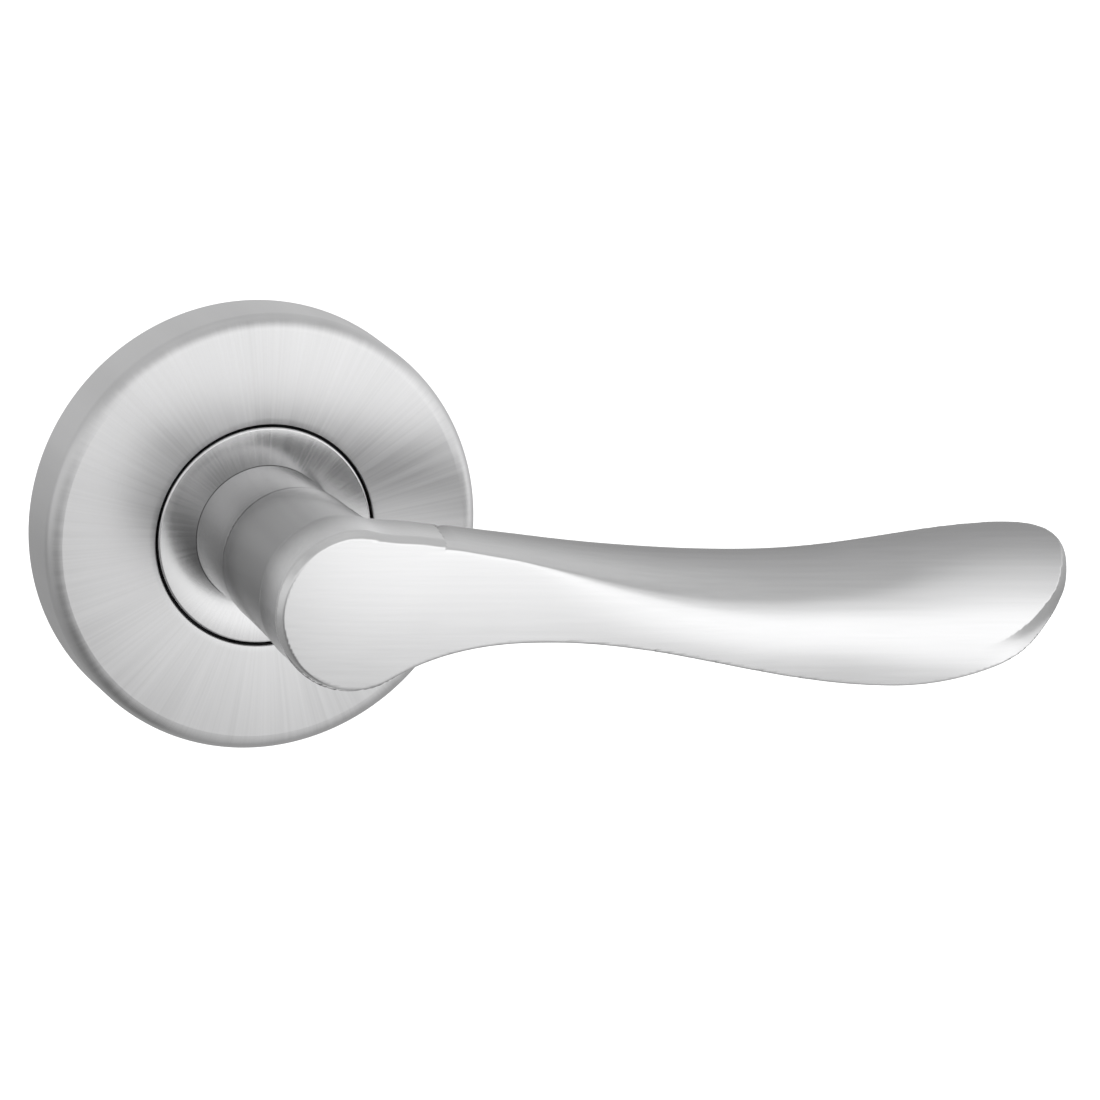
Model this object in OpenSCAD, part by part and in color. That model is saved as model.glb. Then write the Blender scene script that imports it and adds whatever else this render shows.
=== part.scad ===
// Door lever handle on a round sprung rose, for the room side of one door leaf.
// Frame: the origin is the centre of the rose's back face, on the spindle axis.
// +Y goes into the door, -Y faces the room, +X is the way the lever points, +Z is up.
// "s" below is a distance out from the door face, so s = -y. All sizes are in mm.

/* [Rose] */
// Radius of the round cover plate
rose_radius = 32.5; // [30:0.5:36]
// How far the cover stands out from the door
rose_depth = 11; // [10.8:0.1:12]
// Thickness of the pressed cover and disc
sheet = 1.2; // [1:0.1:1.2]
// Rounding of the cover's front edge
rose_rounding = 1.8; // [1:0.2:2.4]
// Radius of the separate disc in the middle of the cover
disc_radius = 16.1; // [15.9:0.1:16.3]
// Width of the dark ring gap between the disc and the cover
disc_gap = 0.45; // [0.3:0.05:0.6]

/* [Neck] */
// Radius of the turned collar behind the lever
collar_radius = 10.4; // [10:0.1:10.5]
// Distance out from the door of the seam between collar and lever
seam_s = 24.5; // [20:0.5:28]
// Radius of the lever's neck at that seam
neck_radius = 10.7; // [10.4:0.1:11]
// Radius of the lever's neck just behind its front face
head_radius = 11.8; // [11.2:0.1:12.2]
// Small bevel round the front face of the head
head_bevel = 0.7; // [0.3:0.1:1]
// Distance out from the door of the lever's front face
front_s = 57; // [54:0.5:60]

/* [Lever] */
// Distance from the spindle axis to the tip
tip_x = 108.2; // [98:0.2:116]
// Distance out from the door of the lever's back
back_s = 46.6; // [45:0.2:48]
// Height of the upper edge at its lowest point
waist_top = 7.3; // [6:0.1:8]
// Depth of the lower edge where the grip is narrowest
waist_bottom = 4.2; // [3:0.1:5]
// Depth of the lower edge where the grip is widest
belly_bottom = 11.1; // [9:0.1:12]
// Height of the tip's outermost point
tip_z = 5.8; // [4:0.1:7]
// Height of the soft ridge along the outer half of the grip
ridge_z = 0.8; // [0:0.1:3]
// Radius of the blend from the grip's back into the neck
blend_radius = 8; // [6:0.5:12]

/* [Mechanism] */
// Width across the flats of the square spindle
spindle_size = 8; // [7:0.1:8]
// How far the spindle reaches behind the door face
spindle_reach = 45; // [25:1:60]
// Travel of the lever in degrees
travel = 45; // [30:1:50]
// Centre distance of the two fixing pillars
pillar_spacing = 38; // [37.5:0.5:39]
// How far the pillars reach behind the door face
pillar_reach = 9; // [5:1:12]
// Centre distance of the two wood-screw holes
screw_spacing = 46; // [45.5:0.5:46.5]

/* [Hidden] */
$fn = 96;

steel = [0.78, 0.78, 0.77];
zinc = [0.62, 0.63, 0.64];
nylon = [0.90, 0.89, 0.84];
brass = [0.75, 0.62, 0.35];

cut = 1;                                // how far a cutter passes each side of its work
free = 0.05;                            // running clearance on a radius and between faces
plate_radius = rose_radius - sheet - 0.3;
plate_front = rose_depth - sheet - 1.2;
boss_radius = disc_radius - sheet + 0.05 - 0.1;
boss_front = plate_front + 0.8;
web_back = 7.2;                         // back of the plate's bearing wall
pocket_radius = 14.3;                   // spring chamber in the back of the plate
shaft_radius = 8;
bush_radius = 10;
flange_radius = 12;
flange_front = rose_depth - sheet - 0.1;
flange_back = boss_front - 0.5;
shoulder_s = flange_front + 0.5;
shaft_end = 1.6;
flat_half = 7;
spigot_radius = 7.5;
spigot_end = 32;
socket_end = 46;
cam_front = 6.65;
cam_back = 5.25;
cam_radius = 10.6;
dog_radius = 13.6;
dog_half = 2.5;
dog_rest = 90 + travel / 2;
pin_radius = 1.25;
pin_circle = 12.4;
pin_swing = asin((dog_half + pin_radius + free) / pin_circle);
groove_radius = 7.2;
ring_front = cam_back - free;
ring_back = ring_front - 0.7;
wire_radius = 0.8;
coil_radius = 12.2;
coil_turns = 1.25;
coil_front = cam_back - 0.15 - wire_radius;
coil_back = coil_front - 1.68 * coil_turns;
leg_angle = dog_rest - asin((dog_half + wire_radius + free) / coil_radius);
foot_angle = leg_angle + 360 * coil_turns;
leg_end = 6.6;
foot_end = 0.5;
cap_back = 0.3;
cap_front = 1.3;
cap_radius = 18;
cap_screw_circle = 16;
cap_screw_radius = 1.1;
cap_screw_end = 5.8;
cap_screw_angles = [18, 162, 198, 342];
pillar_radius = 4;
pillar_shank = 3;
shank_end = 7.4;
thread_m4 = 1.65;
screw_hole = 2.25;
screw_boss = 6.5;
screw_boss_front = 7;
pin_root = 8.4;
grub_s = 39;
grub_radius = 2.95;

// ---- lever shape: every edge of the grip as a function of the distance x from the axis ----

function mix(a, b, t) = a + (b - a) * t;
function ease(t) = let (c = max(0, min(1, t))) c * c * (3 - 2 * c);
// quarter of a superellipse: 1 at t = 0, 0 at t = 1
function quarter(t, n) = pow(max(0, 1 - pow(max(0, min(1, t)), n)), 1 / n);

belly_x = tip_x - 25.8;
corner_x = tip_x - 11.2;
crest_x = tip_x - 7;                    // where the upper edge would level out
waist_x = 57;
neck_waist_x = 29;
neck_side = 11.2;                       // radius of the neck where the blend runs out
dip = 0.0021;                           // how fast the upper edge rises each side of its waist
top_rise = 4.3;                         // from the waist up to the crest
back_slope = 0.006;
edge_share = 0.18;                      // how far forward of the back the upper edge lies
front_recess = 1.6;                     // how far the front has fallen back at the tip
end_recess = 3.2;                       // how far front and back close in on the rounded end

function swing(t) = (1 - cos(180 * max(0, min(1, t)))) / 2;

function upper_rise(x) =
    x > waist_x ? top_rise * swing(pow((x - waist_x) / (crest_x - waist_x), 1.12)) :
    x > neck_waist_x ? dip * pow(x - waist_x, 2) :
    dip * (waist_x - neck_waist_x) * (waist_x + neck_waist_x - 2 * x);

function upper_edge(x) = tip_z + (waist_top + upper_rise(x) - tip_z)
    * quarter((x - corner_x) / (tip_x - corner_x), 3.1);

function lower_edge(x) =
    x < 6 ? -sqrt(pow(head_radius, 2) - x * x) :
    x < neck_waist_x ? -waist_bottom - 5.5 * pow((neck_waist_x - x) / 24, 2.45) :
    x < belly_x ? -mix(waist_bottom, belly_bottom,
        swing((x - neck_waist_x) / (belly_x - neck_waist_x))) :
    tip_z - (tip_z + belly_bottom) * quarter((x - belly_x) / (tip_x - belly_x), 2.65);

function outer(x) = ease((x - 22) / 46);            // 0 near the neck, 1 on the outer grip
function end_fall(x) = 1 - quarter((x - tip_x + 5) / 5, 2.4);
function blend(x) =
    let (d = min(blend_radius, max(0, neck_side + blend_radius - x)))
    blend_radius - sqrt(pow(blend_radius, 2) - d * d);

function grip_front(x) =
    front_s - front_recess * ease((x - 50) / 57) - end_recess * end_fall(x);
function grip_back(x) =
    back_s + back_slope * max(0, x - 26) - blend(x) + end_recess * end_fall(x);
function crease(x) =
    let (top = upper_edge(x), low = lower_edge(x))
    max(mix(top - 1.5, ridge_z, outer(x)), mix(low, top, 0.55));

// corners of the section at x as [s, z, radius], going round
function corners(x) =
    let (top = upper_edge(x), low = lower_edge(x), f = grip_front(x), b = grip_back(x))
    let (soft = 7 * blend(x) / blend_radius)
    let (lean = min(0.8, 0.1 * (top - low)))
    [[b, top - lean, 1.6 + soft], [mix(b, f, edge_share), top, 1.6],
        [f, crease(x), mix(0.7, 11, outer(x))],
        [f - mix(0.3, 1.9, outer(x)), low, 1.5], [b + 0.4, low + lean / 2, 1.8 + soft]];

corner_steps = 5;

// rounds one corner: the radius gives way where the sides are short
function fillet(p, q, r, want) =
    let (u = [p[0] - q[0], p[1] - q[1]], v = [r[0] - q[0], r[1] - q[1]])
    let (lu = norm(u), lv = norm(v))
    let (angle = acos(max(-1, min(1, u * v / (lu * lv)))))
    let (reach = min(want / tan(angle / 2), 0.46 * min(lu, lv)))
    let (a = [q[0], q[1]] + u / lu * reach, c = [q[0], q[1]] + v / lv * reach)
    [for (i = [0:corner_steps - 1])
        let (t = i / (corner_steps - 1))
        let (pull = 2 * t * (1 - t) * sin(angle / 2))
        (a * pow(1 - t, 2) + [q[0], q[1]] * pull + c * t * t)
            / (pow(1 - t, 2) + pull + t * t)];

function section(x) =
    let (c = corners(x), n = len(c))
    [for (k = [0:n - 1]) each [for (p = fillet(c[(k + n - 1) % n], c[k], c[(k + 1) % n],
        c[k][2])) [x, p[1], p[0]]]];

near_steps = 11;
mid_steps = 11;
end_steps = 11;
near_x = 3;
mid_x = 27;
end_x = tip_x - 14;
stations = concat(
    [for (i = [0:near_steps - 1]) mix(near_x, mid_x, i / near_steps)],
    [for (i = [0:mid_steps - 1]) mix(mid_x, end_x, i / mid_steps)],
    [for (i = [0:end_steps]) mix(end_x, tip_x, sin(82 * i / end_steps))]);

// ---- shared shapes; inside out_from_door() the local z axis is s and local y is world z ----

module out_from_door() {
    rotate([90, 0, 0]) children();
}

module rod(radius, from, to) {
    translate([0, 0, from]) cylinder(r = radius, h = to - from);
}

module tube(outer_radius, inner_radius, from, to) {
    difference() {
        rod(outer_radius, from, to);
        rod(inner_radius, from - cut, to + cut);
    }
}

module square_rod(across, from, to) {
    translate([-across / 2, -across / 2, from]) cube([across, across, to - from]);
}

module at_angle(angle, radius) {
    translate([radius * cos(angle), radius * sin(angle), 0]) children();
}

module loft(rings) {
    count = len(rings);
    n = len(rings[0]);
    sides = [for (i = [0:count - 2]) for (j = [0:n - 1])
        let (a = i * n + j, b = i * n + (j + 1) % n)
        each [[a, a + n, b], [b, a + n, b + n]]];
    first = [[for (j = [0:n - 1]) j]];
    last = [[for (j = [n - 1:-1:0]) (count - 1) * n + j]];
    polyhedron(points = [for (r = rings) each r], faces = concat(first, sides, last));
}

// ---- fixed pieces ----

module rose_cover() {
    outside = rose_radius;
    inside = rose_radius - sheet;
    opening = disc_radius + disc_gap;
    round_inside = max(0.2, rose_rounding - sheet);
    lip = 0.3;
    profile = concat(
        [[inside, 0], [outside, 0]],
        [for (a = [0:15:90]) [outside - rose_rounding * (1 - cos(a)),
            rose_depth - rose_rounding * (1 - sin(a))]],
        [for (a = [0:30:90]) [opening + lip * (1 - sin(a)), rose_depth - lip * (1 - cos(a))]],
        [[opening, rose_depth - sheet]],
        [for (a = [90:-30:0]) [inside - round_inside * (1 - cos(a)),
            rose_depth - sheet - round_inside * (1 - sin(a))]]);
    color(steel) out_from_door() rotate_extrude() polygon(profile);
}

module centre_disc() {
    lip = 0.4;
    color(steel) out_from_door() difference() {
        rotate_extrude() polygon(concat(
            [[disc_radius - sheet, plate_front + 0.1], [disc_radius, plate_front + 0.1]],
            [for (a = [0:22.5:90]) [disc_radius - lip * (1 - cos(a)),
                rose_depth - lip * (1 - sin(a))]],
            [[collar_radius + 0.25, rose_depth], [collar_radius + 0.25, rose_depth - sheet],
                [disc_radius - sheet, rose_depth - sheet]]));
    }
}

module base_plate() {
    pocket_floor = 2.5;
    rim = 1.8;
    hub = 19;
    rib = 1.6;
    rib_front = 6;
    screw_head = 4.5;
    head_depth = screw_head - screw_hole;
    color(zinc) out_from_door() difference() {
        union() {
            difference() {
                rod(plate_radius, 0, plate_front);
                tube(plate_radius - rim, hub, pocket_floor, plate_front + cut);
            }
            rod(boss_radius, web_back, boss_front);
            for (side = [-1, 1]) {
                translate([side * screw_spacing / 2, 0, 0])
                    rod(screw_boss, 0, screw_boss_front);
                translate([0, side * pillar_spacing / 2, 0])
                    rod(pillar_radius + 2.6, 0, shank_end);
            }
            for (angle = [45:90:315]) {
                rotate(angle) translate([hub - cut, -rib / 2, 0])
                    cube([plate_radius - hub, rib, rib_front]);
            }
        }
        rod(pocket_radius, -cut, web_back);
        rod(cap_radius + 0.1, -cut, cap_front);
        rod(bush_radius, 0, boss_front + cut);
        rod(flange_radius + 0.1, flange_back, boss_front + cut);
        for (side = [-1, 1]) {
            translate([side * screw_spacing / 2, 0, 0]) {
                rod(screw_hole, -cut, screw_boss_front + cut);
                translate([0, 0, screw_boss_front - head_depth])
                    cylinder(r1 = screw_hole, r2 = screw_head, h = head_depth + 0.01);
            }
            translate([0, side * pillar_spacing / 2, 0]) {
                rod(pillar_shank, -cut, shank_end + cut);
                rod(pillar_radius + 0.1, -cut, cap_front);
            }
        }
        for (angle = cap_screw_angles) at_angle(angle, cap_screw_circle)
            rod(cap_screw_radius, 0, cap_screw_end + 0.2);
        for (angle = [dog_rest + pin_swing, dog_rest - travel - pin_swing])
            at_angle(angle, pin_circle) rod(pin_radius, web_back - cut, pin_root);
        for (angle = [30:120:270]) rotate(angle)
            translate([plate_radius - 0.95, -3.6, 1]) cube([2, 7.2, plate_front]);
    }
}

module fixing_pillars() {
    color(zinc) out_from_door() for (side = [-1, 1])
        translate([0, side * pillar_spacing / 2, 0]) difference() {
            union() {
                rod(pillar_shank, 0, shank_end);
                rod(pillar_radius, -pillar_reach, cap_front);
            }
            rod(thread_m4, -pillar_reach - cut, 2);
        }
}

module bearing_bush() {
    color(nylon) out_from_door() difference() {
        union() {
            rod(bush_radius, web_back, flange_back + 0.2);
            rod(flange_radius, flange_back, flange_front);
        }
        rod(shaft_radius + free, 0, rose_depth);
    }
}

module stop_pins() {
    color(steel) out_from_door()
        for (angle = [dog_rest + pin_swing, dog_rest - travel - pin_swing])
            at_angle(angle, pin_circle) rod(pin_radius, cam_back, pin_root);
}

module spring_plate() {
    color(zinc) out_from_door() difference() {
        rod(cap_radius, cap_back, cap_front);
        rod(8.6, 0, 2);
        at_angle(foot_angle, coil_radius) rod(wire_radius + 0.05, 0, 2);
        for (side = [-1, 1]) translate([0, side * pillar_spacing / 2, 0])
            rod(pillar_radius + 0.2, 0, 2);
        for (angle = cap_screw_angles) at_angle(angle, cap_screw_circle)
            rod(cap_screw_radius + 0.15, 0, 2);
    }
}

module plate_screws() {
    head = 1.9;
    slot = 0.5;
    color(steel) out_from_door() for (angle = cap_screw_angles)
        at_angle(angle, cap_screw_circle) difference() {
            union() {
                rod(cap_screw_radius, cap_back - 0.1, cap_screw_end);
                rod(head, 0.02, cap_back);
            }
            translate([-head - cut, -slot / 2, -cut]) cube([2 * head + 2 * cut, slot, cut + 0.17]);
        }
}

// a wire along a path of points, with a round section of eight sides
module return_spring() {
    wire_sides = 8;
    coil_steps = 48;
    end_steps_wire = 4;
    function turn_point(angle, s) = [coil_radius * cos(angle), coil_radius * sin(angle), s];
    bend = 1.2;
    path = concat(
        [turn_point(leg_angle, leg_end)],
        [for (i = [0:end_steps_wire]) let (t = i / end_steps_wire * 90)
            turn_point(leg_angle + (1 - cos(t)) * bend / coil_radius * 57.3,
                coil_front + bend * (1 - sin(t)))],
        [for (i = [2:coil_steps - 2]) let (t = i / coil_steps)
            turn_point(leg_angle + 360 * coil_turns * t, mix(coil_front, coil_back, t))],
        [for (i = [end_steps_wire:-1:0]) let (t = i / end_steps_wire * 90)
            turn_point(foot_angle - (1 - cos(t)) * 0.5 / coil_radius * 57.3,
                coil_back - 0.5 * (1 - sin(t)))],
        [turn_point(foot_angle, foot_end)]);
    last = len(path) - 1;
    function along(i) = let (d = path[min(last, i + 1)] - path[max(0, i - 1)]) d / norm(d);
    function ring(i) =
        let (t = along(i), out = [path[i][0], path[i][1], 0] / coil_radius)
        let (u = out - t * (out * t), a = u / norm(u), b = cross(t, a))
        [for (k = [0:wire_sides - 1]) path[i]
            + (a * cos(360 * k / wire_sides) + b * sin(360 * k / wire_sides)) * wire_radius];
    color(steel) out_from_door() loft([for (i = [0:last]) ring(i)]);
}

module rose_clips() {
    leaf = 0.35;
    inner = plate_radius - 0.7;
    color(steel) out_from_door() for (angle = [30:120:270]) rotate(angle)
        intersection() {
            union() {
                tube(inner + leaf, inner, 1.1, plate_front);
                tube(rose_radius - sheet - free, rose_radius - sheet - leaf, 2.6, 5);
                tube(rose_radius - sheet - free, inner + leaf / 2, 3.4, 4.2);
            }
            translate([0, -3.2, 1]) cube([rose_radius, 6.4, rose_depth]);
        }
}

// ---- turning pieces ----

module lever_handle() {
    bevel_s = front_s - head_bevel;
    color(steel) out_from_door() difference() {
        union() {
            translate([0, 0, seam_s]) cylinder(r1 = neck_radius, r2 = head_radius,
                h = bevel_s - seam_s);
            translate([0, 0, bevel_s]) cylinder(r1 = head_radius,
                r2 = head_radius - head_bevel, h = head_bevel);
            loft([for (x = stations) section(x)]);
        }
        rod(spigot_radius + free, seam_s - cut, spigot_end + 0.3);
        square_rod(spindle_size + 2 * free, seam_s, socket_end);
        translate([0, 0, grub_s]) rotate([90, 0, 0]) rod(grub_radius + free, 0, 14);
    }
}

module neck_collar() {
    edge = 0.3;
    color(steel) out_from_door() difference() {
        union() {
            rod(shaft_radius, shaft_end, shoulder_s);
            rod(collar_radius, shoulder_s, seam_s - edge);
            translate([0, 0, seam_s - edge]) cylinder(r1 = collar_radius,
                r2 = collar_radius - edge, h = edge);
            rod(spigot_radius, shoulder_s, spigot_end);
        }
        square_rod(spindle_size + 4 * free, 0, spigot_end + cut);
        tube(shaft_radius + cut, groove_radius, ring_back, ring_front);
        for (side = [-1, 1]) translate([side * (flat_half + 2) - 2, -9, 0])
            cube([4, 18, cam_front + free]);
    }
}

module front_washer() {
    color(steel) out_from_door()
        tube(collar_radius - 0.2, shaft_radius + free, flange_front + free, shoulder_s - free);
}

module rear_washer() {
    color(brass) out_from_door()
        tube(10.8, shaft_radius + free, cam_front + free, web_back - free);
}

module drive_cam() {
    color(steel) out_from_door() difference() {
        union() {
            rod(cam_radius, cam_back, cam_front);
            rotate(dog_rest) translate([cam_radius - 2, -dog_half, cam_back])
                cube([dog_radius - cam_radius + 2, 2 * dog_half, cam_front - cam_back]);
        }
        intersection() {
            rod(shaft_radius + free, 0, 10);
            translate([-flat_half - free, -9, 0]) cube([2 * flat_half + 2 * free, 18, 10]);
        }
    }
}

module retaining_ring() {
    ring_radius = 9.4;
    ear = 1.5;
    ear_at = 14;
    color(steel) out_from_door() rotate(-90) difference() {
        union() {
            rod(ring_radius, ring_back + 0.02, ring_front - 0.02);
            for (angle = [-ear_at, ear_at]) at_angle(angle, ring_radius - 0.4)
                rod(ear, ring_back + 0.02, ring_front - 0.02);
        }
        rod(groove_radius + free, 0, 10);
        translate([0, -1.1, 0]) cube([14, 2.2, 10]);
        for (angle = [-ear_at, ear_at]) at_angle(angle, ring_radius - 0.4) rod(0.6, 0, 10);
    }
}

module spindle() {
    corner = 0.4;
    color(zinc) out_from_door() intersection() {
        square_rod(spindle_size, -spindle_reach, socket_end - 0.5);
        rotate(45) square_rod(sqrt(2) * (spindle_size - corner), -spindle_reach, socket_end);
    }
}

module grub_screw() {
    hex = 1.75;
    color(steel) out_from_door() translate([0, 0, grub_s]) rotate([90, 0, 0]) difference() {
        union() {
            rod(grub_radius, spindle_size / 2 + 0.6, 10.2);
            translate([0, 0, spindle_size / 2]) cylinder(r1 = grub_radius - 0.8,
                r2 = grub_radius, h = 0.6);
        }
        translate([0, 0, 7]) cylinder(r = hex, h = 5, $fn = 6);
    }
}

rose_cover();
centre_disc();
base_plate();
fixing_pillars();
bearing_bush();
stop_pins();
spring_plate();
plate_screws();
return_spring();
rose_clips();
lever_handle();
neck_collar();
front_washer();
rear_washer();
drive_cam();
retaining_ring();
spindle();
grub_screw();
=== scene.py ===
"""Looks of the door lever handle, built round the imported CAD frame.

Frame: origin at the centre of the rose's back face, +Y into the door, +X the way the lever
points, +Z up. Lengths in this script are millimetres until a mesh is made; "s" is a distance
out from the door face, so s = -y.
"""
import math

import bpy
import numpy as np
from mathutils import Matrix, Vector


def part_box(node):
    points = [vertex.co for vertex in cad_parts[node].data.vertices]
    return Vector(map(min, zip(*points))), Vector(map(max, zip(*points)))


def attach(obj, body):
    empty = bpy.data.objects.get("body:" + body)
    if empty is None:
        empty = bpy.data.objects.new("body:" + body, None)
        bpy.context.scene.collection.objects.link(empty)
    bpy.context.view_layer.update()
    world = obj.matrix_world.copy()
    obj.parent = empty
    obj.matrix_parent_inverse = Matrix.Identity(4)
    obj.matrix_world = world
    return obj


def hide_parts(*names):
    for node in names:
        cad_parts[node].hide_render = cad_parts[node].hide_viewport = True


MM = 0.001

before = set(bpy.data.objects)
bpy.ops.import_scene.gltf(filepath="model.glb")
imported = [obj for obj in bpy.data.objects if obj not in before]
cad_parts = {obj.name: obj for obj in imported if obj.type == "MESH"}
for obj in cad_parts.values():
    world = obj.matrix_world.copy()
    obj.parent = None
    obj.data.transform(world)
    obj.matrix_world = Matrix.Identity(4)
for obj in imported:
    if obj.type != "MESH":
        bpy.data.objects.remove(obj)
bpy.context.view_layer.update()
scene = bpy.context.scene


# ---------------------------------------------------------------- driving sizes, from the frame

def node_box(node):
    """A CAD node's lowest and highest corners in millimetres."""
    low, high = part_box(node)
    return low / MM, high / MM


cover_low, cover_high = node_box("rose_cover")
disc_high = node_box("centre_disc")[1]
collar_high = node_box("neck_collar")[1]
lever_low, lever_high = node_box("lever_handle")

ROSE_RADIUS = cover_high.x
ROSE_FRONT = -cover_low.y
DISC_RADIUS = disc_high.x
DISC_BACK = -disc_high.y
SHEET = 1.2                   # thickness of the cover and the disc
GAP = 0.4                     # ring gap between them
COLLAR_RADIUS = collar_high.x
NECK_BACK = -lever_high.y
FRONT = -lever_low.y
TIP_X = lever_high.x + 1.1


# ---------------------------------------------------------------- the lever as an implicit solid

HEAD_RADIUS = 11.1            # outline of the flat front of the head
NECK_RADII = (10.65, 11.85)   # neck at the seam and just behind the head
HEAD_BEVEL = 0.85
EDGE_BEVEL = 0.25             # along the lower edge, and round the lower part of the head
EDGE_ROUND = 0.15             # rounding where a bevel meets its neighbours
BACK = 46.6                   # distance out of the grip's back
BACK_SLOPE = 0.006
BACK_SLOPE_X = 26.0
EDGE_S = 48.4                 # distance out of the upper back edge
FRONT_RECESS = 1.6            # how far the front falls back towards the tip
WAIST_TOP = 7.25              # upper and lower edge where the grip is narrowest
WAIST_BOTTOM = 4.3
BELLY_BOTTOM = 11.1
NECK_DROP = 5.5               # how much lower the lower edge runs under the head
DIP = 0.0021
TOP_RISE = 4.3
TOP_CORNER = 3.2              # superellipse exponents of the tip's upper and lower corners
LOW_SWEEP = 1.9
TIP_Z = 3.6
RIDGE_Z = 0.8                 # height of the soft crease on the outer grip
RIDGE_DROP = 4.5              # and how much lower it is at the tip
RIDGE_ROUND = 5.0
CREASE_ROUND = 0.1
WAIST_X = 57.0
NECK_WAIST_X = 29.0
CREST_X = 101.0
BELLY_X = 82.4
CORNER_X = 97.0
NOTCH_X = 12.7
NOTCH_LEAN = 0.15
TIP_BEVEL_SLOPE = 0.95
TIP_BEVEL_TOP = 9.8           # the bevel widens from this height downwards
TIP_BEVEL_SPREAD = 0.36
TIP_BEVEL_DROP = 9.2          # height over which it widens
BLEND_RADIUS = 8.0            # between the neck and the grip's back
BLEND_SIDE = 11.2
BLEND_ROUND = 4.0
SEAM_GAP = 0.12
SEAM_CHAMFER = 0.3
SEAM_SHADE_LINE = 0.8               # the painted shadow line at the seam ends this far along the neck
ROOT_2 = math.sqrt(2.0)


def ease(t):
    """Smooth step from 0 to 1."""
    c = np.clip(t, 0.0, 1.0)
    return c * c * (3.0 - 2.0 * c)


def swing(t):
    """Half a cosine wave from 0 to 1."""
    return (1.0 - np.cos(math.pi * np.clip(t, 0.0, 1.0))) / 2.0


def quarter(t, n):
    """Quarter of a superellipse: 1 at t = 0, 0 at t = 1."""
    return np.maximum(0.0, 1.0 - np.clip(t, 0.0, 1.0) ** n) ** (1.0 / n)


def mix(a, b, t):
    """a at t = 0, b at t = 1."""
    return a + (b - a) * t


def upper_edge(x):
    """Height of the grip's upper back edge, before the tip's corner is rounded off."""
    near = DIP * (WAIST_X - NECK_WAIST_X) * (WAIST_X + NECK_WAIST_X - 2.0 * x)
    middle = DIP * (x - WAIST_X) ** 2
    far = TOP_RISE * swing(np.maximum(0.0, (x - WAIST_X) / (CREST_X - WAIST_X)) ** 1.12)
    return WAIST_TOP + np.where(x > WAIST_X, far, np.where(x > NECK_WAIST_X, middle, near))


def crease_height(x):
    """Height of the front crease: close under the upper edge at first, then low on the grip."""
    near = upper_edge(x) - np.clip(1.2 + 0.05 * (x - 14.0), 1.2, 1.8)
    return mix(near, RIDGE_Z - RIDGE_DROP * ease((x - 68.0) / 32.0), outwards(x))


def outwards(x):
    """0 near the neck, 1 on the outer grip."""
    return ease((x - 22.0) / 54.0)


def lower_edge(x):
    """Height of the lower edge, with the sweep up to the tip."""
    near = -WAIST_BOTTOM - NECK_DROP * (np.maximum(0.0, NECK_WAIST_X - x) / 24.0) ** 2.45
    along = (x - NECK_WAIST_X) / (BELLY_X - NECK_WAIST_X)
    middle = -mix(WAIST_BOTTOM, BELLY_BOTTOM, swing(along))
    sweep = quarter((x - BELLY_X) / (TIP_X - BELLY_X), LOW_SWEEP)
    far = TIP_Z - (TIP_Z + BELLY_BOTTOM) * sweep
    return np.where(x < NECK_WAIST_X, near, np.where(x < BELLY_X, middle, far))


JOIN_TURN = 0.5               # the head's arc meets top and bottom over this angle
OUTLINE_POINTS = 900
SMOOTHING_ROUNDS = 10
LOW_START_X = 5.2             # the lower edge takes over from the head's arc here


def closed_outline(top, bottom):
    """Closed loop through top (running towards the neck), round the head, along bottom."""
    start = math.atan2(top[-1][1], top[-1][0])
    end = math.atan2(bottom[0][1], bottom[0][0]) + 2.0 * math.pi
    turn = np.linspace(start, end, 120)[1:-1]
    reach = mix(np.hypot(*top[-1]), HEAD_RADIUS, ease((turn - start) / JOIN_TURN))
    reach = mix(reach, np.hypot(*bottom[0]), ease((turn - end + JOIN_TURN) / JOIN_TURN))
    head = np.stack([reach * np.cos(turn), reach * np.sin(turn)], 1)
    loop = np.concatenate([top, head, bottom])
    steps = np.linalg.norm(np.roll(loop, -1, 0) - loop, axis=1)
    along = np.concatenate([[0.0], np.cumsum(steps)])
    closed = np.concatenate([loop, loop[:1]])
    even = np.linspace(0.0, along[-1], OUTLINE_POINTS, endpoint=False)
    loop = np.stack([np.interp(even, along, closed[:, k]) for k in (0, 1)], 1)
    for _ in range(SMOOTHING_ROUNDS):
        loop = (np.roll(loop, 1, 0) + 2.0 * loop + np.roll(loop, -1, 0)) / 4.0
    return loop


def grip_outline():
    """Outline of the whole grip in x and z."""
    far = TIP_X - (TIP_X - 3.0) * (1.0 - np.cos(np.linspace(0.0, math.pi / 2.0, 240)))
    rounded = quarter((far - CORNER_X) / (TIP_X - CORNER_X), TOP_CORNER)
    top = np.stack([far, TIP_Z + (upper_edge(far) + 0.3 - TIP_Z) * rounded], 1)
    low = far[far > LOW_START_X][::-1]
    return closed_outline(top, np.stack([low, lower_edge(low)], 1))


def head_outline():
    """Outline of the flat front of the head, run on past the notch."""
    far = np.linspace(26.0, 2.5, 80)
    top = np.stack([far, crease_height(far) - 0.3 * ease((9.0 - far) / 6.0)], 1)
    low = far[far > LOW_START_X][::-1]
    return closed_outline(top, np.stack([low, lower_edge(low)], 1))


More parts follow.
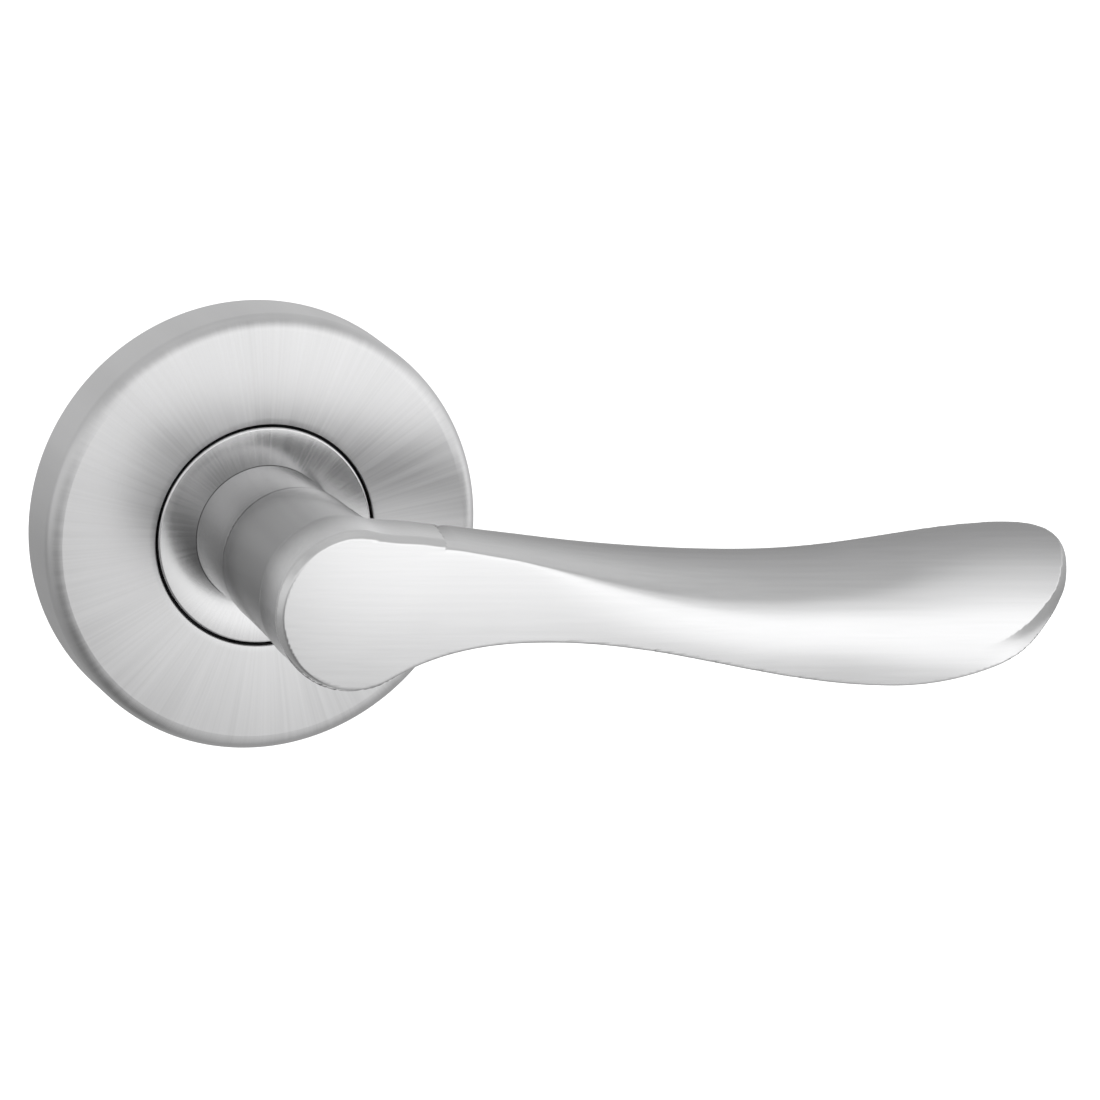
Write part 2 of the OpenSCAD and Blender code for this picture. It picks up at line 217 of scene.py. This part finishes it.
def outline_distance(loop, xs, zs):
    """Signed distance from each grid point to the outline, negative inside."""
    gx, gz = np.meshgrid(xs, zs, indexing="ij")
    points = np.stack([gx.ravel(), gz.ravel()], 1)
    nearest = np.full(len(points), 1e9)
    inside = np.zeros(len(points), bool)
    for a, b in zip(loop, np.roll(loop, -1, 0)):
        edge = b - a
        t = np.clip((points - a) @ edge / (edge @ edge), 0.0, 1.0)
        away = points - a - t[:, None] * edge
        nearest = np.minimum(nearest, (away * away).sum(1))
        if a[1] != b[1]:
            crosses = (a[1] > points[:, 1]) != (b[1] > points[:, 1])
            cut_x = a[0] + (points[:, 1] - a[1]) / edge[1] * edge[0]
            inside ^= crosses & (points[:, 0] < cut_x)
    distance = np.sqrt(nearest)
    return np.where(inside, -distance, distance).reshape(gx.shape)


class Sampled:
    """Cubic (Catmull-Rom) interpolation of values on an even grid."""

    def __init__(self, values, low, step):
        self.values, self.low, self.step = values, low, step

    def __call__(self, x, z):
        u = (x - self.low[0]) / self.step
        v = (z - self.low[1]) / self.step
        i = np.clip(np.floor(u).astype(int), 1, self.values.shape[0] - 3)
        j = np.clip(np.floor(v).astype(int), 1, self.values.shape[1] - 3)
        wu, wv = self.weights(u - i), self.weights(v - j)
        total = 0.0
        for a in range(4):
            for b in range(4):
                total = total + wu[a] * wv[b] * self.values[i + a - 1, j + b - 1]
        return total

    @staticmethod
    def weights(t):
        """Of the four grid values round a point t of the way from the second to the third."""
        t2, t3 = t * t, t * t * t
        return (-0.5 * t + t2 - 0.5 * t3, 1.0 - 2.5 * t2 + 1.5 * t3,
                0.5 * t + 2.0 * t2 - 1.5 * t3, -0.5 * t2 + 0.5 * t3)


def both(a, b, r):
    """Intersection of two solids with a rounded edge of about radius r."""
    u, v = np.maximum(r + a, 0.0), np.maximum(r + b, 0.0)
    return np.minimum(-r, np.maximum(a, b)) + np.sqrt(u * u + v * v)


OUTLINE_STEP = 0.3
OUTLINE_LOW = (-14.0, -15.0)
OUTLINE_TOP = 16.0


def sampled_outline(loop, far_x):
    """The outline's signed distance as a function of x and z."""
    xs = np.arange(OUTLINE_LOW[0], far_x, OUTLINE_STEP)
    zs = np.arange(OUTLINE_LOW[1], OUTLINE_TOP, OUTLINE_STEP)
    return Sampled(outline_distance(loop, xs, zs), OUTLINE_LOW, OUTLINE_STEP)


grip_edge = sampled_outline(grip_outline(), TIP_X + 3.0)
head_edge = sampled_outline(head_outline(), 18.0)


def softened(u, r):
    """0 for u well below zero, u well above it, rounded over about r; and its slope."""
    root = np.sqrt(u * u + r * r)
    return 0.5 * (root + u), 0.5 * (1.0 + u / root)


def head_dome(x, z):
    """How far the slightly domed front of the head lies behind its highest part."""
    return 0.003 * ((z - 3.0) ** 2 + np.minimum(0.0, x - 6.0) ** 2)


def grip_solid(x, z, s):
    """The flat grip, from the head to the tip."""
    edge = grip_edge(x, z)
    out = outwards(x)
    front = FRONT - FRONT_RECESS * ease((x - 50.0) / 57.0) - (1.0 - out) * head_dome(x, z)
    # front face: falls back above the crease towards the upper edge, and gently below it
    crease_z = crease_height(x)
    top = upper_edge(x) - 0.5 * ease((15.0 - x) / 3.0)
    radius = mix(CREASE_ROUND, RIDGE_ROUND, out)
    full, _ = softened(top - crease_z, radius)
    curve = out * mix(0.02, 0.016, ease((x - 70.0) / 25.0))
    lean = (front - EDGE_S) / full - curve * full
    above, above_slope = softened(z - crease_z, radius)
    below, below_slope = softened(crease_z - 2.0 - z, 3.0)
    fall = lean * above + curve * above ** 2 + 0.01 * out * below ** 2
    slope = (lean + 2.0 * curve * above) * above_slope - 0.02 * out * below * below_slope
    face = (s - front + fall) / np.sqrt(1.0 + slope * slope)
    face = both(face, (edge + EDGE_BEVEL + s - front) / ROOT_2, EDGE_ROUND)
    # the wide bevel cut round the tip: its slope dies away along the lower edge
    steep = TIP_BEVEL_SLOPE * ease((z + 9.0) / 9.0) * ease((x - 94.0) / 12.0)
    width = TIP_BEVEL_SPREAD * np.clip(TIP_BEVEL_TOP - z, 0.0, TIP_BEVEL_DROP)
    face = np.maximum(face, (steep * (edge + width) + face) / np.sqrt(1.0 + steep * steep))
    back = BACK + BACK_SLOPE * np.maximum(0.0, x - BACK_SLOPE_X)
    return both(both(edge, face, 0.3), back - s, mix(1.2, 1.8, out))


def head_solid(x, z, s):
    """The head's front with its bevel and the short straight side that ends at the notch."""
    edge = head_edge(x, z)
    share = ease((z + 11.0) / 9.0) * (1.0 - ease(x / 8.0) * ease(-z / 3.0))
    bevel = mix(EDGE_BEVEL, HEAD_BEVEL, share)
    grow = bevel - EDGE_BEVEL * ease((x - 1.0) / 10.0) * ease(-z / 4.0)
    rise = s - FRONT + head_dome(x, z) + 0.04 * ease((x - 6.0) / 5.0)
    front = both(rise, (edge + bevel - grow + rise) / ROOT_2, 0.12)
    lean = 0.035 * np.maximum(0.0, FRONT - s) * ease(z / 6.0)
    side = both(edge - grow - lean, front, EDGE_ROUND)
    side = both(side, BACK - s, 1.0)
    return np.maximum(side, x - NOTCH_X - NOTCH_LEAN * (FRONT - s - 5.0))


def neck_solid(x, z, s):
    """The round neck and the blend that carries the grip's back into it."""
    t = np.clip((s - NECK_BACK) / (FRONT - NECK_BACK), 0.0, 1.0)
    neck = np.hypot(x, z) - mix(*NECK_RADII, t ** 1.5)
    away = np.clip(BLEND_SIDE + BLEND_RADIUS - x, 0.0, BLEND_RADIUS)
    blend_back = BACK + 1.0 - BLEND_RADIUS + np.sqrt(BLEND_RADIUS ** 2 - away ** 2)
    blend = both(grip_edge(x, z) + 1.8, (blend_back - s) * 0.8, BLEND_ROUND)
    blend = np.maximum(blend, np.maximum(-x, s - BACK - 1.2))
    stem = np.minimum(neck, blend)
    start = NECK_BACK + SEAM_GAP - s
    stem = np.maximum(stem, np.maximum(start, (neck + start + SEAM_CHAMFER) / ROOT_2))
    return np.maximum(stem, s - FRONT + 2.0)


def lever_solid(x, z, s):
    """Negative inside the lever, zero on its surface."""
    blade = np.minimum(grip_solid(x, z, s), head_solid(x, z, s))
    return np.minimum(blade, neck_solid(x, z, s))


def surface_net(field, low, high, step):
    """Quads on the zero surface of field between two corners, each point at the mean of its
    cell's crossings.
    """
    axes = [np.arange(low[k], high[k] + step, step) for k in range(3)]
    shape = [len(a) for a in axes]
    values = np.empty(shape, np.float32)
    for i, x in enumerate(axes[0]):
        z, s = np.meshgrid(axes[1], axes[2], indexing="ij")
        values[i] = field(np.full(z.shape, x), z, s)
    inside = values < 0.0
    corners = [np.array([a, b, c]) for a in (0, 1) for b in (0, 1) for c in (0, 1)]
    count = sum(inside[tuple(slice(k, n - 1 + k) for k, n in zip(p, shape))].astype(np.int8)
                for p in corners)
    cells = np.argwhere((count > 0) & (count < len(corners)))
    number = np.full([n - 1 for n in shape], -1, np.int64)
    number[tuple(cells.T)] = np.arange(len(cells))
    total = np.zeros((len(cells), 3))
    hits = np.zeros(len(cells))
    for p in corners:
        for axis in range(3):
            if p[axis]:
                continue
            q = p.copy()
            q[axis] = 1
            va = values[tuple((cells + p).T)].astype(float)
            vb = values[tuple((cells + q).T)].astype(float)
            crossing = (va < 0.0) != (vb < 0.0)
            t = np.where(crossing, va / np.where(crossing, va - vb, 1.0), 0.0)
            total += crossing[:, None] * (cells + p + t[:, None] * (q - p))
            hits += crossing
    points = np.array(low) + total / hits[:, None] * step
    quads = []
    for axis in range(3):
        u, v = (axis + 1) % 3, (axis + 2) % 3
        first = [slice(0, n) for n in shape]
        second = [slice(0, n) for n in shape]
        first[axis], second[axis] = slice(0, shape[axis] - 1), slice(1, shape[axis])
        change = inside[tuple(first)] != inside[tuple(second)]
        where = np.argwhere(change)
        keep = ((where[:, u] > 0) & (where[:, v] > 0)
                & (where[:, u] < shape[u] - 1) & (where[:, v] < shape[v] - 1))
        where = where[keep]
        ring = []
        for du, dv in ((-1, -1), (0, -1), (0, 0), (-1, 0)):
            cell = where.copy()
            cell[:, u] += du
            cell[:, v] += dv
            ring.append(number[tuple(cell.T)])
        faces = np.stack(ring, 1)
        leaving = inside[tuple(where.T)]
        faces[~leaving] = faces[~leaving][:, ::-1]
        quads.append(faces)
    return points, np.concatenate(quads)


def gradient(field, points, step=0.06):
    """Slope of the field at each point, by central differences."""
    slope = np.empty_like(points)
    for k in range(3):
        shift = np.zeros(3)
        shift[k] = step
        ahead, behind = points + shift, points - shift
        slope[:, k] = (field(*ahead.T) - field(*behind.T)) / (2.0 * step)
    return slope


SMALLEST_SLOPE = 0.2
LARGEST_MOVE = 0.2


def settle(field, points, rounds=4):
    """Points moved on to the zero surface, a little at a time."""
    for _ in range(rounds):
        slope = gradient(field, points)
        size = np.maximum((slope * slope).sum(1), SMALLEST_SLOPE)
        move = field(*points.T)[:, None] * slope / size[:, None]
        points = points - np.clip(move, -LARGEST_MOVE, LARGEST_MOVE)
    return points


# ---------------------------------------------------------------- mesh helpers

def out_from_door(points):
    """(x, z, s) in millimetres to the frame's metres."""
    points = np.asarray(points, float)
    return np.stack([points[:, 0], -points[:, 2], points[:, 1]], 1) * MM


def mesh_object(name, points, faces, sharp=None):
    """A smooth-shaded object; edges steeper than sharp degrees stay crisp."""
    mesh = bpy.data.meshes.new(name)
    mesh.from_pydata([tuple(p) for p in points], [], [tuple(int(i) for i in f) for f in faces])
    mesh.validate()
    obj = bpy.data.objects.new(name, mesh)
    scene.collection.objects.link(obj)
    mesh.polygons.foreach_set("use_smooth", [True] * len(mesh.polygons))
    if sharp is not None:
        mesh.set_sharp_from_angle(angle=math.radians(sharp))
    return obj


def turned(name, profile, steps=256, sharp=35.0):
    """A closed profile of (radius, s) points turned about the spindle axis."""
    angles = [2.0 * math.pi * i / steps for i in range(steps)]
    points = [(r * math.cos(a), r * math.sin(a), s) for a in angles for r, s in profile]
    n = len(profile)
    faces = []
    for i in range(steps):
        here, there = i * n, (i + 1) % steps * n
        for j in range(n):
            k = (j + 1) % n
            faces.append((here + j, here + k, there + k, there + j))
    return mesh_object(name, out_from_door(points), faces, sharp)


def arc(centre, radius, start, end, steps):
    """Points (r, s) on an arc; angles in degrees from the radius direction towards +s."""
    turns = [math.radians(mix(start, end, i / steps)) for i in range(steps + 1)]
    return [(centre[0] + radius * math.cos(t), centre[1] + radius * math.sin(t)) for t in turns]


# ---------------------------------------------------------------- lever and neck

def make_lever():
    """The lever's surface, with the solid's own slopes as its normals."""
    low = (-12.6, -14.4, NECK_BACK - 0.6)
    high = (TIP_X + 1.5, 13.4, FRONT + 0.6)
    step = 0.35
    points, quads = surface_net(lever_solid, low, high, step)
    points = settle(lever_solid, points)
    obj = mesh_object("lever_body", out_from_door(points), quads)
    normals = gradient(lever_solid, points)
    normals /= np.linalg.norm(normals, axis=1)[:, None]
    normals = np.stack([normals[:, 0], -normals[:, 2], normals[:, 1]], 1)
    if len(obj.data.vertices) == len(normals):
        obj.data.normals_split_custom_set_from_vertices([tuple(n) for n in normals])
    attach(obj, "lever")
    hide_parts("lever_handle")
    return obj


lever = make_lever()


def make_cover():
    """The pressed cover: a slightly domed front that rounds over into the side wall."""
    opening = DISC_RADIUS + GAP
    inside = ROSE_RADIUS - SHEET
    lip, foot, inner_round = 0.2, 0.15, 0.8
    dome = 0.7
    round_over, round_depth = 2.8, 1.9
    crease = math.radians(78.0)
    rim_steps, face_steps = 12, 16
    flat_end = ROSE_RADIUS - round_over * (1.0 - math.cos(crease))
    edge_front = ROSE_FRONT - dome

    def front(r):
        return ROSE_FRONT - dome * ((r - opening) / (flat_end - opening)) ** 2

    profile = [(inside, 0.0), (ROSE_RADIUS - foot, 0.0), (ROSE_RADIUS, foot)]
    for i in range(rim_steps + 1):
        t = crease * i / rim_steps
        profile.append((ROSE_RADIUS - round_over * (1.0 - math.cos(t)),
                        edge_front - round_depth * (1.0 - math.sin(t) / math.sin(crease))))
    for i in range(face_steps):
        r = mix(flat_end, opening + lip, i / face_steps)
        profile.append((r, front(r)))
    profile += arc((opening + lip, ROSE_FRONT - lip), lip, 90, 180, 5)
    profile += [(opening, ROSE_FRONT - SHEET)]
    inner_front = ROSE_FRONT - SHEET - dome - 0.6
    profile += arc((inside - inner_round, inner_front - inner_round), inner_round, 90, 0, 5)
    obj = turned("cover_shell", profile, sharp=11.0)
    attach(obj, "rose")
    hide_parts("rose_cover")
    return obj


def make_disc():
    """The separate flat disc between the ring gap and the collar."""
    hole = COLLAR_RADIUS + 0.02
    inside = DISC_RADIUS - SHEET
    lip, hole_lip = 0.35, 0.05
    profile = [(inside, DISC_BACK), (DISC_RADIUS, DISC_BACK)]
    profile += arc((DISC_RADIUS - lip, ROSE_FRONT - lip), lip, 0, 90, 6)
    profile += arc((hole + hole_lip, ROSE_FRONT - hole_lip), hole_lip, 90, 180, 3)
    profile += [(hole, ROSE_FRONT - SHEET), (inside, ROSE_FRONT - SHEET)]
    obj = turned("disc_shell", profile)
    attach(obj, "rose")
    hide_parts("centre_disc")
    return obj


cover = make_cover()
disc = make_disc()


# ---------------------------------------------------------------- materials

class Nodes:
    """Short calls for a material's or world's node tree."""

    def __init__(self, owner):
        owner.use_nodes = True
        self.tree = owner.node_tree

    def add(self, kind, inputs=(), **settings):
        node = self.tree.nodes.new(kind)
        for key, value in settings.items():
            setattr(node, key, value)
        for key, value in dict(inputs).items():
            self.feed(node.inputs[key], value)
        return node

    def feed(self, socket, value):
        if isinstance(value, bpy.types.NodeSocket):
            self.tree.links.new(value, socket)
        else:
            socket.default_value = value

    def math(self, operation, a, b=0.0):
        return self.add("ShaderNodeMath", {0: a, 1: b}, operation=operation).outputs[0]

    def ramp(self, value, stops):
        node = self.add("ShaderNodeValToRGB", {"Fac": value})
        ramp = node.color_ramp
        ramp.interpolation = "EASE"
        while len(ramp.elements) < len(stops):
            ramp.elements.new(0.5)
        for element, (place, level) in zip(ramp.elements, stops):
            element.position = place
            element.color = (level, level, level, 1.0)
        return node.outputs["Color"]

    def span(self, value, low, high, to_low, to_high):
        inputs = {"Value": value, "From Min": low, "From Max": high,
                  "To Min": to_low, "To Max": to_high}
        return self.add("ShaderNodeMapRange", inputs, interpolation_type="SMOOTHSTEP").outputs[0]

    def noise(self, vector, scale, detail=2.0, roughness=0.5):
        inputs = {"Vector": vector, "Scale": scale, "Detail": detail, "Roughness": roughness}
        return self.add("ShaderNodeTexNoise", inputs).outputs["Fac"]

    def combine(self, x, y, z):
        return self.add("ShaderNodeCombineXYZ", {0: x, 1: y, 2: z}).outputs[0]

    def separate(self, vector):
        node = self.add("ShaderNodeSeparateXYZ", {0: vector})
        return node.outputs[0], node.outputs[1], node.outputs[2]

    def tint(self, colour, level):
        """colour multiplied by a grey level."""
        node = self.add("ShaderNodeMix", data_type="RGBA", blend_type="MULTIPLY")
        node.inputs["Factor"].default_value = 1.0
        self.feed(node.inputs[6], (*colour, 1.0))
        self.feed(node.inputs[7], level)
        return node.outputs[2]


def object_place(nodes):
    """The place on the object, in metres."""
    return nodes.add("ShaderNodeTexCoord").outputs["Object"]


NECK_SHADE = (45.0, 55.0)     # painted shade on the neck and collar ends between these distances out


def metal(name, colour, roughness, grain, bump=0.1, depth=0.02, anisotropy=0.0, around=None,
          contrast=0.045, neck=1.0, seam_shade_line=False):
    """A metal whose colour, roughness and bump follow grain(nodes), 0..1 values (fine, broad).

    depth is the bump's height in millimetres, around the axis of the brushing, neck the level of
    the painted shade on the part nearer the door than NECK_SHADE, and seam_shade_line adds a
    painted shadow line at the seam.
    """
    material = bpy.data.materials.new(name)
    nodes = Nodes(material)
    shader = nodes.tree.nodes["Principled BSDF"]
    shader.inputs["Metallic"].default_value = 1.0
    shader.inputs["Anisotropic"].default_value = anisotropy
    fine, broad = grain(nodes)
    level = nodes.math("ADD", nodes.span(fine, 0.25, 0.75, 1.0 - contrast, 1.0),
                       nodes.span(broad, 0.3, 0.7, -0.8 * contrast, 0.0))
    # painted shade: the colour darkens nearer the door, standing in for the shade on the neck and
    # collar
    if neck < 1.0:
        out = nodes.math("MULTIPLY", nodes.separate(object_place(nodes))[1], -1.0 / MM)
        level = nodes.math("MULTIPLY", level, nodes.span(out, *NECK_SHADE, neck, 1.0))
        # painted shadow line: a thin band of darker colour at the seam, standing in for the
        # seam's shade
        if seam_shade_line:
            shade_line_end = NECK_BACK + SEAM_SHADE_LINE
            seam = nodes.span(out, shade_line_end, shade_line_end + 0.15, 0.25, 1.0)
            level = nodes.math("MULTIPLY", level, seam)
    nodes.feed(shader.inputs["Base Color"], nodes.tint(colour, level))
    rough = nodes.math("ADD", nodes.span(fine, 0.25, 0.75, roughness * 0.9, roughness * 1.1),
                       nodes.span(broad, 0.3, 0.7, -0.02, 0.02))
    nodes.feed(shader.inputs["Roughness"], rough)
    relief = nodes.add("ShaderNodeBump", {"Height": fine, "Strength": bump,
                                          "Distance": depth * MM})
    nodes.feed(shader.inputs["Normal"], relief.outputs["Normal"])
    if around:
        tangent = nodes.add("ShaderNodeTangent", direction_type="RADIAL", axis=around)
        nodes.feed(shader.inputs["Tangent"], tangent.outputs[0])
    return material


def radial_grain(nodes):
    """Scratches that run outward from the spindle axis, on the front but not on the wall."""
    x, y, z = nodes.separate(object_place(nodes))
    radius = nodes.math("SQRT", nodes.math("ADD", nodes.math("MULTIPLY", x, x),
                                           nodes.math("MULTIPLY", z, z)))
    east = nodes.math("DIVIDE", x, radius)
    north = nodes.math("DIVIDE", z, radius)
    reach = nodes.math("MULTIPLY", radius, 14.0)
    spokes = nodes.combine(nodes.math("MULTIPLY", east, 42.0),
                           nodes.math("MULTIPLY", north, 42.0), reach)
    fans = nodes.combine(nodes.math("MULTIPLY", east, 3.2),
                         nodes.math("MULTIPLY", north, 3.2), nodes.math("MULTIPLY", radius, 30.0))
    wall = nodes.span(radius, (ROSE_RADIUS - 1.2) * MM, (ROSE_RADIUS - 0.4) * MM, 0.0, 1.0)
    fine = nodes.noise(spokes, 1.0, 4.0, 0.6)
    fine = nodes.add("ShaderNodeMix", {"Factor": wall, 2: fine, 3: 0.5}).outputs[0]
    return fine, nodes.noise(fans, 1.0, 3.0)


def length_grain(along, across):
    """Fine scratches along X, along and across being cycles per metre."""
    def grain(nodes):
        x, y, z = nodes.separate(object_place(nodes))
        lines = nodes.combine(nodes.math("MULTIPLY", x, along),
                              nodes.math("MULTIPLY", y, across),
                              nodes.math("MULTIPLY", z, across))
        return nodes.noise(lines, 1.0, 4.0, 0.6), nodes.noise(object_place(nodes), 60.0, 2.0)
    return grain


def ring_grain(nodes):
    """Fine turned rings round the spindle axis."""
    x, y, z = nodes.separate(object_place(nodes))
    rings = nodes.combine(nodes.math("MULTIPLY", x, 60.0), nodes.math("MULTIPLY", y, 4000.0),
                          nodes.math("MULTIPLY", z, 60.0))
    return nodes.noise(rings, 1.0, 2.0, 0.5), nodes.noise(object_place(nodes), 60.0, 2.0)


def speckle(scale):
    """An even fine grain, scale being its cycles per metre."""
    def grain(nodes):
        place = object_place(nodes)
        return nodes.noise(place, scale, 4.0, 0.6), nodes.noise(place, scale / 12.0, 2.0)
    return grain


def put(obj, material):
    obj.data.materials.clear()
    obj.data.materials.append(material)


STEEL = (0.86, 0.86, 0.865)
ROSE_STEEL = (0.85, 0.85, 0.855)
# level of the painted shade on the neck and collar
NECK_PAINTED_SHADE_LEVEL = 0.45
rose_satin = metal("rose_satin", ROSE_STEEL, 0.33, radial_grain, 0.18, 0.02,
                   anisotropy=0.15, around="Y", contrast=0.1)
disc_satin = metal("disc_satin", ROSE_STEEL, 0.22, radial_grain, 0.12, 0.02,
                   anisotropy=0.15, around="Y", contrast=0.08)
lever_satin = metal("lever_satin", STEEL, 0.2, length_grain(40.0, 1500.0), 0.07, 0.01,
                    neck=NECK_PAINTED_SHADE_LEVEL, seam_shade_line=True)
collar_satin = metal("collar_satin", STEEL, 0.2, ring_grain, 0.04, 0.01,
                     contrast=0.02, neck=NECK_PAINTED_SHADE_LEVEL)
plated = metal("plated", (0.62, 0.62, 0.63), 0.35, speckle(900.0), 0.2, 0.02)
# painted shade: near black, so the base plate seen through the ring gap stands in for the gap's
# shade
cast_gap_shade = metal("cast_gap_shade", (0.06, 0.06, 0.065), 0.6, speckle(600.0), 0.5, 0.05)
spring_steel = metal("spring_steel", (0.35, 0.35, 0.36), 0.32, speckle(1200.0), 0.1, 0.01)
yellow_brass = metal("yellow_brass", (0.75, 0.58, 0.28), 0.3, speckle(900.0), 0.1, 0.01)

put(cover, rose_satin)
put(disc, disc_satin)
put(lever, lever_satin)
put(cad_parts["neck_collar"], collar_satin)
FINISHES = {
    "base_plate": cast_gap_shade, "fixing_pillars": plated, "bearing_bush": cast_gap_shade, "stop_pins": plated,
    "spring_plate": plated, "plate_screws": plated, "return_spring": spring_steel,
    "rose_clips": spring_steel, "front_washer": plated, "rear_washer": yellow_brass,
    "drive_cam": plated, "retaining_ring": spring_steel, "spindle": plated,
    "grub_screw": spring_steel}
for node, finish in FINISHES.items():
    put(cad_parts[node], finish)


# ---------------------------------------------------------------- floor, light and camera

WORLD_STRENGTH = 1.25
# (height of the direction, level): the front of the room, then the part behind the door plane
FRONT_LEVELS = [(-1.0, 0.36), (-0.77, 0.47), (-0.57, 0.53), (-0.38, 0.6), (-0.2, 0.93),
                (0.0, 0.99), (0.2, 0.98), (0.5, 0.68), (0.71, 0.43), (0.86, 0.44), (1.0, 0.48)]
BACK_LEVELS = [(-0.4, 0.30), (0.2, 0.49), (0.5, 0.46), (1.0, 0.44)]
# (how far to the right, share of the front's level), below and above eye level
LOW_SHARES = [(-1.0, 0.5), (-0.45, 0.3), (-0.15, 0.36), (0.05, 0.75), (0.25, 0.97), (0.6, 1.0),
              (1.0, 0.7)]
HIGH_SHARES = [(-1.0, 0.6), (-0.45, 0.65), (-0.15, 0.8), (0.1, 0.95), (0.3, 1.0), (1.0, 0.8)]


def make_floor():
    """A plain white floor. Reflections skip it, so the metal shows only the studio's light."""
    bpy.ops.mesh.primitive_plane_add(size=8.0, location=(0.0, 0.0, -0.16))
    floor = bpy.context.object
    floor.name = "floor"
    floor.visible_glossy = False
    material = bpy.data.materials.new("pale_floor")
    nodes = Nodes(material)
    shader = nodes.tree.nodes["Principled BSDF"]
    shader.inputs["Base Color"].default_value = (0.85, 0.85, 0.85, 1.0)
    shader.inputs["Roughness"].default_value = 0.9
    shader.inputs["Emission Color"].default_value = (1.0, 1.0, 1.0, 1.0)
    shader.inputs["Emission Strength"].default_value = 0.8
    put(floor, material)


def level_ramp(nodes, value, levels):
    """Level for a value from -1 to 1; levels holds (value, level) pairs."""
    place = nodes.math("ADD", nodes.math("MULTIPLY", value, 0.5), 0.5)
    return nodes.ramp(place, [(0.5 + 0.5 * v, level) for v, level in levels])


def make_world():
    """Soft studio light: a broad bright panel ahead and to the right, greys all round."""
    world = scene.world or bpy.data.worlds.new("world")
    scene.world = world
    nodes = Nodes(world)
    background = nodes.tree.nodes["Background"]
    x, y, z = nodes.separate(nodes.add("ShaderNodeTexCoord").outputs["Generated"])
    across = nodes.math("SQRT", nodes.math("ADD", nodes.math("MULTIPLY", x, x),
                                           nodes.math("MULTIPLY", y, y)))
    right = nodes.math("DIVIDE", x, nodes.math("MAXIMUM", across, 0.001))
    share = nodes.add("ShaderNodeMix", {"Factor": nodes.span(z, -0.2, 0.15, 0.0, 1.0),
                                        2: level_ramp(nodes, right, LOW_SHARES),
                                        3: level_ramp(nodes, right, HIGH_SHARES)}).outputs[0]
    overhead = nodes.span(z, 0.35, 0.85, 0.0, 1.0)
    share = nodes.add("ShaderNodeMix", {"Factor": overhead, 2: share, 3: 1.0}).outputs[0]
    front = nodes.math("MULTIPLY", level_ramp(nodes, z, FRONT_LEVELS), share)
    back = nodes.math("ADD", level_ramp(nodes, z, BACK_LEVELS), nodes.math("MULTIPLY", x, 0.05))
    behind = nodes.span(y, -0.15, 0.25, 0.0, 1.0)
    light = nodes.add("ShaderNodeMix", {"Factor": behind, 2: front, 3: back}).outputs[0]
    nodes.feed(background.inputs["Color"], light)
    background.inputs["Strength"].default_value = WORLD_STRENGTH


make_floor()
make_world()
scene.view_settings.view_transform = "Standard"

CAMERA_AZIMUTH = -17.91
CAMERA_ELEVATION = 13.215
CAMERA_ROLL = 4.42
CAMERA_DISTANCE = 1.5
LENS_PER_SENSOR = 9.355          # focal length over the frame's width
ORIGIN_IN_FRAME = (-0.2790, 0.02996)  # where the origin falls, in frame widths from the centre


def make_camera():
    """The photograph's view: it looks at the door from the left and above, a little rolled."""
    a, e = math.radians(CAMERA_AZIMUTH), math.radians(CAMERA_ELEVATION)
    back = Vector((math.sin(a) * math.cos(e), -math.cos(a) * math.cos(e), math.sin(e)))
    right = Vector((math.cos(a), math.sin(a), 0.0))
    up = back.cross(right)
    roll = math.radians(CAMERA_ROLL)
    right, up = (right * math.cos(roll) + up * math.sin(roll),
                 up * math.cos(roll) - right * math.sin(roll))
    aim = (-back - right * (ORIGIN_IN_FRAME[0] / LENS_PER_SENSOR)
           - up * (ORIGIN_IN_FRAME[1] / LENS_PER_SENSOR)).normalized()
    side = aim.cross(up).normalized()
    rotation = Matrix([side, side.cross(aim), -aim]).transposed()
    data = bpy.data.cameras.new("camera")
    data.sensor_width = 36.0
    data.lens = LENS_PER_SENSOR * data.sensor_width
    data.clip_start, data.clip_end = 0.05, 50.0
    camera = bpy.data.objects.new("camera", data)
    scene.collection.objects.link(camera)
    camera.matrix_world = Matrix.Translation(back * CAMERA_DISTANCE) @ rotation.to_4x4()
    scene.camera = camera


make_camera()
